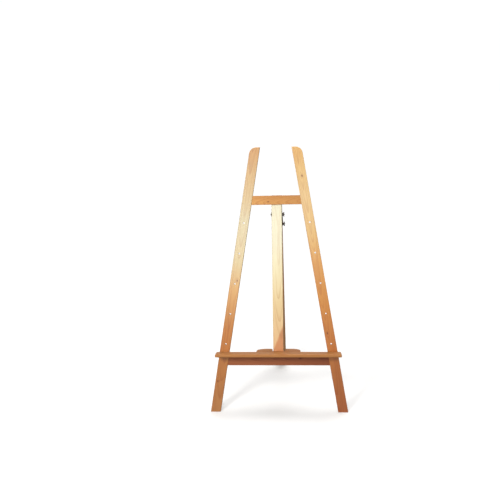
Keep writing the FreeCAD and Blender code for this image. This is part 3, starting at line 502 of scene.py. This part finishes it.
def ring_surface(bm, rings, close_ends=True, loop=False):
    """Skins rings of equal length; loop joins the last to the first."""
    rows = [[bm.verts.new(p) for p in ring] for ring in rings]
    n = len(rows[0])
    pairs = list(zip(rows[:-1], rows[1:])) + ([(rows[-1], rows[0])] if loop else [])
    for a, b in pairs:
        for i in range(n):
            k = (i + 1) % n
            bm.faces.new((a[i], a[k], b[k], b[i]))
    if close_ends and not loop:
        for row, flip in ((rows[0], True), (rows[-1], False)):
            mid = bm.verts.new(sum((v.co for v in row), Vector()) / n)
            for i in range(n):
                k = (i + 1) % n
                bm.faces.new((row[k], row[i], mid) if flip else (row[i], row[k], mid))
    return rows


def circle(x, r, n=40, wob=None):
    return [Vector((x, (r if wob is None else r + wob(2 * math.pi * i / n)) * math.cos(2 * math.pi * i / n),
                    (r if wob is None else r + wob(2 * math.pi * i / n)) * math.sin(2 * math.pi * i / n))) for i in range(n)]


def washer(bm, x0, thick, r_in, r_out, n=56):
    """Stamped disc: rolled edge on one side, sheared burr-free edge on the other."""
    e, q = 0.45, 0.18
    prof = [(x0, r_in + q), (x0 + q, r_in), (x0 + thick - e, r_in), (x0 + thick - e * 0.3, r_in + e * 0.35), (x0 + thick, r_in + e),
            (x0 + thick, (r_in + r_out) / 2), (x0 + thick, r_out - e), (x0 + thick - e * 0.3, r_out - e * 0.3),
            (x0 + thick - e, r_out), (x0 + q, r_out), (x0, r_out - q), (x0, (r_in + r_out) / 2)]
    ring_surface(bm, [circle(x, r, n) for x, r in prof], loop=True)


def hex_bolt(bm, head_x, head_high, corner, shank, reach, thread_from):
    n = 72
    inr = corner * math.cos(math.pi / 6)

    def hexr(t):
        a = (t % (math.pi / 3)) - math.pi / 6
        return inr / math.cos(a)

    rings = []
    xs = [0.0, 0.12] + [head_high * f for f in (0.3, 0.6, 0.72, 0.80, 0.86, 0.91, 0.955, 1.0)]
    for d in xs:
        lim = inr * 0.97 + (head_high - d) * 1.75
        ring = []
        for i in range(n):
            t = 2 * math.pi * i / n
            r = min(hexr(t), lim)
            if d == 0.0:
                r = min(r, inr * 0.985)
            ring.append(Vector((head_x - d, r * math.cos(t), r * math.sin(t))))
        rings.append(ring)
    for d, r in ((head_high, inr * 0.80), (head_high - 0.25, inr * 0.66), (head_high - 0.3, inr * 0.3)):
        rings.append(circle(head_x - d, r, n))
    ring_surface(bm, rings[::-1])
    m = 32
    rings = [circle(head_x + 0.02, shank - 0.03, m), circle(thread_from - 0.4, shank - 0.03, m)]
    x, pitch, depth = thread_from, 1.0, 0.55
    while x < reach - 0.02:
        def wob(t, x=x):
            ph = ((x / pitch) - t / (2 * math.pi)) % 1.0
            tri = abs(ph - 0.5) * 2
            fade = min(1.0, (x - thread_from) / 0.8)
            return -depth * fade * min(1.0, max(0.0, (tri - 0.10) / 0.80))
        lim = shank - max(0.0, x - (reach - 0.9)) * 0.85
        ring = []
        for i in range(m):
            t = 2 * math.pi * i / m
            r = min(shank + wob(t), lim)
            ring.append(Vector((x, r * math.cos(t), r * math.sin(t))))
        rings.append(ring)
        x += 0.125
    rings.append(circle(reach, shank - 0.9, m))
    ring_surface(bm, rings)


def smooth_loop(pts, per=7):
    """Closed Catmull-Rom curve through points."""
    out, n = [], len(pts)
    for i in range(n):
        p0, p1, p2, p3 = (Vector(pts[(i + k - 1) % n]) for k in range(4))
        for s in range(per):
            t = s / per
            out.append(0.5 * ((2 * p1) + (p2 - p0) * t + (2 * p0 - 5 * p1 + 4 * p2 - p3) * t * t
                              + (3 * p1 - p0 - 3 * p2 + p3) * t ** 3))
    return out


def wing_nut(bm):
    n = 48
    prof = [(0.0, 3.5), (0.0, 5.6), (0.25, 6.1), (0.9, 6.25), (4.0, 5.75), (7.4, 5.15), (8.1, 4.85), (8.45, 4.3), (8.5, 3.6),
            (8.1, 3.08), (4.0, 3.06), (0.4, 3.08)]
    ring_surface(bm, [circle(x, r, n) for x, r in prof], loop=True)
    shape = [(1.0, 3.9), (0.9, 6.0), (1.6, 9.0), (3.3, 12.3), (5.4, 14.6), (7.6, 15.2), (9.6, 14.2), (10.2, 12.2),
             (9.3, 9.6), (8.3, 7.2), (7.6, 5.2), (7.2, 3.9)]
    for s in (1, -1):
        loop = smooth_loop([(a, c * s) for a, c in shape], 5)
        cx = sum((p for p in loop), Vector((0, 0))) / len(loop)
        rings = []
        for y, inset in ((-1.0, 1.25), (-0.96, 0.75), (-0.72, 0.28), (0.0, 0.0), (0.72, 0.28), (0.96, 0.75), (1.0, 1.25)):
            ring = []
            for p in loop:
                rad = abs(p.y)
                half = 1.95 - 0.75 * min(1.0, max(0.0, (rad - 5.0) / 9.0))
                d = (cx - p).normalized() * inset * min(1.0, (cx - p).length / 3.0)
                ring.append(Vector((p.x + d.x, y * half, p.y + d.y)))
            rings.append(ring if s > 0 else ring)
        ring_surface(bm, rings)


def screw(bm, length, head_r=4.0, shank_r=2.0, head_h=2.4, sunk=0.05):
    """Countersunk screw: X points into the wood, the head is flush at 0, cross recess in its face."""
    n = 48
    face = []
    steps = 15
    for j in range(1, steps + 1):
        r = (head_r - 0.12) * j / steps
        ring = []
        for i in range(n):
            t = 2 * math.pi * i / n
            y, z = r * math.cos(t), r * math.sin(t)
            a, b = abs(y), abs(z)
            lng, sht = max(a, b), min(a, b)
            wid = 0.62 - 0.10 * lng
            depth = 0.0
            if lng < head_r * 0.62:
                side = min(1.0, max(0.0, (wid - sht) / 0.22))
                far = min(1.0, max(0.0, (head_r * 0.62 - lng) / 0.9))
                depth = 1.5 * side * far
            ring.append(Vector((sunk + depth, y, z)))
        face.append(ring)
    rings = face + [circle(sunk + 0.12, head_r, n), circle(sunk + 0.35, head_r, n),
                    circle(head_h, shank_r, n), circle(head_h + (length - head_h) * 0.75, shank_r, n),
                    circle(length - 2.5, shank_r * 0.75, n), circle(length - 0.3, 0.3, n)]
    ring_surface(bm, rings)


def fitting(name, nodes, body, mat, parts):
    """parts: (builder, matrix) pairs, joined in one piece."""
    bm = bmesh.new()
    for build, m in parts:
        part = bmesh.new()
        build(part)
        part.transform(m)
        me = bpy.data.meshes.new("tmp")
        part.to_mesh(me)
        part.free()
        bm.from_mesh(me)
        bpy.data.meshes.remove(me)
    bmesh.ops.recalc_face_normals(bm, faces=bm.faces)
    me = bpy.data.meshes.new(name)
    bm.to_mesh(me)
    bm.free()
    for p in me.polygons:
        p.use_smooth = True
    me.set_sharp_from_angle(angle=math.radians(38))
    me.materials.append(mat)
    o = bpy.data.objects.new(name, me)
    bpy.context.scene.collection.objects.link(o)
    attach(o, body)
    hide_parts(*nodes)
    return o


HALF, HEAD_X, STAY_X, NUT_X = 33.0, -34.6, 34.7, 39.0
LOW = rear(0, 13.2, -213.5)
UP = front(0, 32, 1273)
for tag, point, rot, body, turn in (("upper", UP, R_FRONT, "front_frame", 8), ("lower", LOW, R_REAR, "rear_leg", -38)):
    m = place(point, rot)
    fitting("bolt_" + tag, ["pivot_bolt_" + tag], body, BOLT,
            [(lambda b: hex_bolt(b, HEAD_X, 4.0, 5.77, 3.0, 52.0, 42.0), m)])
    fitting("washer_large_" + tag, ["penny_washer_" + tag], body, DARK,
            [(lambda b: washer(b, HEAD_X, 1.6, 3.2, 15.0, 72), m)])
    fitting("washers_stay_" + tag, ["stay_washers_" + tag], body, DARK,
            [(lambda b: washer(b, HALF, 1.6, 3.2, 8.5), m), (lambda b: washer(b, STAY_X + 2.6, 1.6, 3.2, 8.5), m)])
    fitting("nut_winged_" + tag, ["wing_nut_" + tag], "nut_" + tag, BLACK,
            [(wing_nut, place(point + rot @ Vector((NUT_X / 1000, 0, 0)), rot, turn))])


DV = (1350.0, 1378.0, 321.0, 354.3)
# screws: node, body, frame rotation, axis, length, head radius, shank radius, head height, places
CROSS = (
    ("strut_screws", "front_frame", R_FRONT, (0, -1, 0), 34, 4.0, 2.0, 2.4,
     [front(-18, 42, DV[0] + 1), front(18, 42, DV[1] - 1), front(-18, 42, DV[2] + 1), front(18, 42, DV[3] - 1)]),
    ("block_screws", "front_frame", R_FRONT, (0, -1, 0), 34, 4.0, 2.0, 2.4, [front(-18, 62, 1318), front(18, 62, 1318)]),
    ("hinge_screws_fixed", "front_frame", R_FRONT, (0, -1, 0), 16, 3.4, 1.75, 1.8,
     [front(x, 64.2 - 0.4, 1390 + z) for x, z in ((-20, -14), (20, -14), (0, -27))]),
    ("hinge_screws_moving", "rear_leg", R_REAR, (0, 1, 0), 16, 3.4, 1.75, 1.8,
     [rear(x, 0.4, z) for x, z in ((-20, -14), (20, -14), (0, -27))]),
    ("tray_screws", "tray", R_FRONT, (0, 0, 1), 15, 4.0, 2.0, 2.4, [front(x, -18, 372.5) for x in (-112, -40, 40, 112)]),
    ("bridge_screws", "tray", R_FRONT, (0, 0, 1), 30, 4.0, 2.0, 2.4, [front(x, 52.5, 355.5) for x in (-96, -68, 68, 96)]),
)
for group, body, rot, axis, length, hr, sr, hh, places in CROSS:
    parts = []
    for k, p in enumerate(places):
        m = along(p, rot, axis) @ Matrix.Rotation(0.35 + 1.1 * k, 4, "X")
        parts.append((lambda b, length=length, hr=hr, sr=sr, hh=hh: screw(b, length - 0.1, hr - 0.05, sr, hh), m))
    fitting("cross_" + group, [group], body, BRASSY if "hinge" in group else ZINC2, parts)

# ------------------------------------------------------------------ stage
fm = Net("floor_paper")
ftc = fm.node("ShaderNodeTexCoord")
fn = fm.noise(ftc.outputs["Object"], 3.0, 4.0, 0.5)
fm.put(fm.bsdf.inputs["Base Color"], fm.mix(fn, (0.755, 0.752, 0.745, 1), (0.740, 0.737, 0.730, 1)))
fm.bsdf.inputs["Roughness"].default_value = 0.9
fm.bsdf.inputs["Specular IOR Level"].default_value = 0.1
# the sheet is lit from below towards its edges, so that it runs out to plain white
fx, fy, fz = fm.xyz(ftc.outputs["Object"])
far = fm.math("SQRT", fm.add(fm.mul(fx, fx), fm.mul(fy, fy)))
fm.bsdf.inputs["Emission Color"].default_value = (1, 1, 1, 1)
glow = fm.node("ShaderNodeValToRGB")
for pos, val in ((0.0, 0.18), (0.11, 0.30), (0.175, 0.39), (0.26, 0.51), (0.37, 0.64), (0.52, 0.73), (0.75, 0.77), (1.0, 0.79)):
    e = glow.color_ramp.elements[0] if pos == 0.0 else (glow.color_ramp.elements[-1] if pos == 1.0 else glow.color_ramp.elements.new(pos))
    e.position = pos
    e.color = (val, val, val, 1.0)
fm.put(glow.inputs[0], fm.mul(far, 1.0 / 12.0))
fm.put(fm.bsdf.inputs["Emission Strength"], glow.outputs[0])
bm = bmesh.new()
bmesh.ops.create_grid(bm, x_segments=2, y_segments=2, size=900.0)
me = bpy.data.meshes.new("floor")
bm.to_mesh(me)
bm.free()
floor = bpy.data.objects.new("floor", me)
bpy.context.scene.collection.objects.link(floor)
me.materials.append(fm.mat)
floor.visible_diffuse = False
floor.visible_glossy = False

world = bpy.data.worlds.new("studio")
bpy.context.scene.world = world
world.use_nodes = True
wt = world.node_tree
bg = wt.nodes["Background"]
wtc = wt.nodes.new("ShaderNodeTexCoord")
wsep = wt.nodes.new("ShaderNodeSeparateXYZ")
wr = wt.nodes.new("ShaderNodeValToRGB")
for pos, val in ((0.0, 0.33), (0.490, 0.33), (0.492, 1.02), (0.575, 1.02), (0.64, 0.30), (1.0, 0.30)):
    e = wr.color_ramp.elements[0] if pos == 0.0 else (wr.color_ramp.elements[-1] if pos == 1.0 else wr.color_ramp.elements.new(pos))
    e.position = pos
    e.color = (val, val, val, 1.0)
wmap = wt.nodes.new("ShaderNodeMath")
wmap.operation = "MULTIPLY_ADD"
wmap.inputs[1].default_value = 0.5
wmap.inputs[2].default_value = 0.5
wt.links.new(wtc.outputs["Generated"], wsep.inputs[0])
wt.links.new(wsep.outputs[2], wmap.inputs[0])
wt.links.new(wmap.outputs[0], wr.inputs[0])
wt.links.new(wr.outputs[0], bg.inputs[0])
bg.inputs[1].default_value = 1.0


def area(name, loc, target, size, power, color=(1, 1, 1)):
    """Soft box: size is (width, height), power in watts."""
    d = bpy.data.lights.new(name, "AREA")
    d.shape = "RECTANGLE"
    d.size, d.size_y = size
    d.energy = power
    d.color = color
    o = bpy.data.objects.new(name, d)
    o.location = loc
    o.rotation_euler = (Vector(target) - Vector(loc)).to_track_quat("-Z", "Y").to_euler()
    bpy.context.scene.collection.objects.link(o)
    return o


area("softbox_front", (-0.42, -4.6, 1.86), (-0.1, 0, 1.25), (0.8, 1.05), 48, (1.0, 0.99, 0.97))
area("softbox_key", (-1.8, -3.6, 2.55), (0, 0, 0.9), (0.9, 0.9), 118, (1.0, 0.985, 0.96))
area("softbox_top", (0.3, 0.6, 4.2), (0.0, 0.0, 0.0), (2.4, 2.4), 120)

# ------------------------------------------------------------------ camera
f_px, pitch, roll, yaw = 672.93, 0.221, -0.028, -0.075
cx_, cy_ = 0.1584, 4.0036
c, s = math.cos(yaw), math.sin(yaw)
eye = Vector((c * -cx_ + s * -cy_, -s * -cx_ + c * -cy_, 1.9754))
eye.y += Y_FEET


def to_row(v):
    return Vector((c * v[0] + s * v[1], -s * v[0] + c * v[1], v[2]))


fwd = to_row((0, math.cos(pitch), -math.sin(pitch)))
right = to_row((1, 0, 0))
up = to_row((0, math.sin(pitch), math.cos(pitch)))
cr, sr = math.cos(roll), math.sin(roll)
right2 = right * cr + up * sr
up2 = up * cr - right * sr
camd = bpy.data.cameras.new("camera")
camd.lens = f_px / 500.0 * 36.0
camd.sensor_width = 36.0
camd.clip_end = 3000
cam = bpy.data.objects.new("camera", camd)
mw = Matrix((right2, up2, -fwd)).transposed().to_4x4()
mw.translation = eye
cam.matrix_world = mw
bpy.context.scene.collection.objects.link(cam)
bpy.context.scene.camera = cam

bpy.context.scene.view_settings.view_transform = "Standard"
bpy.context.scene.view_settings.look = "None"
bpy.context.scene.view_settings.exposure = 0.0
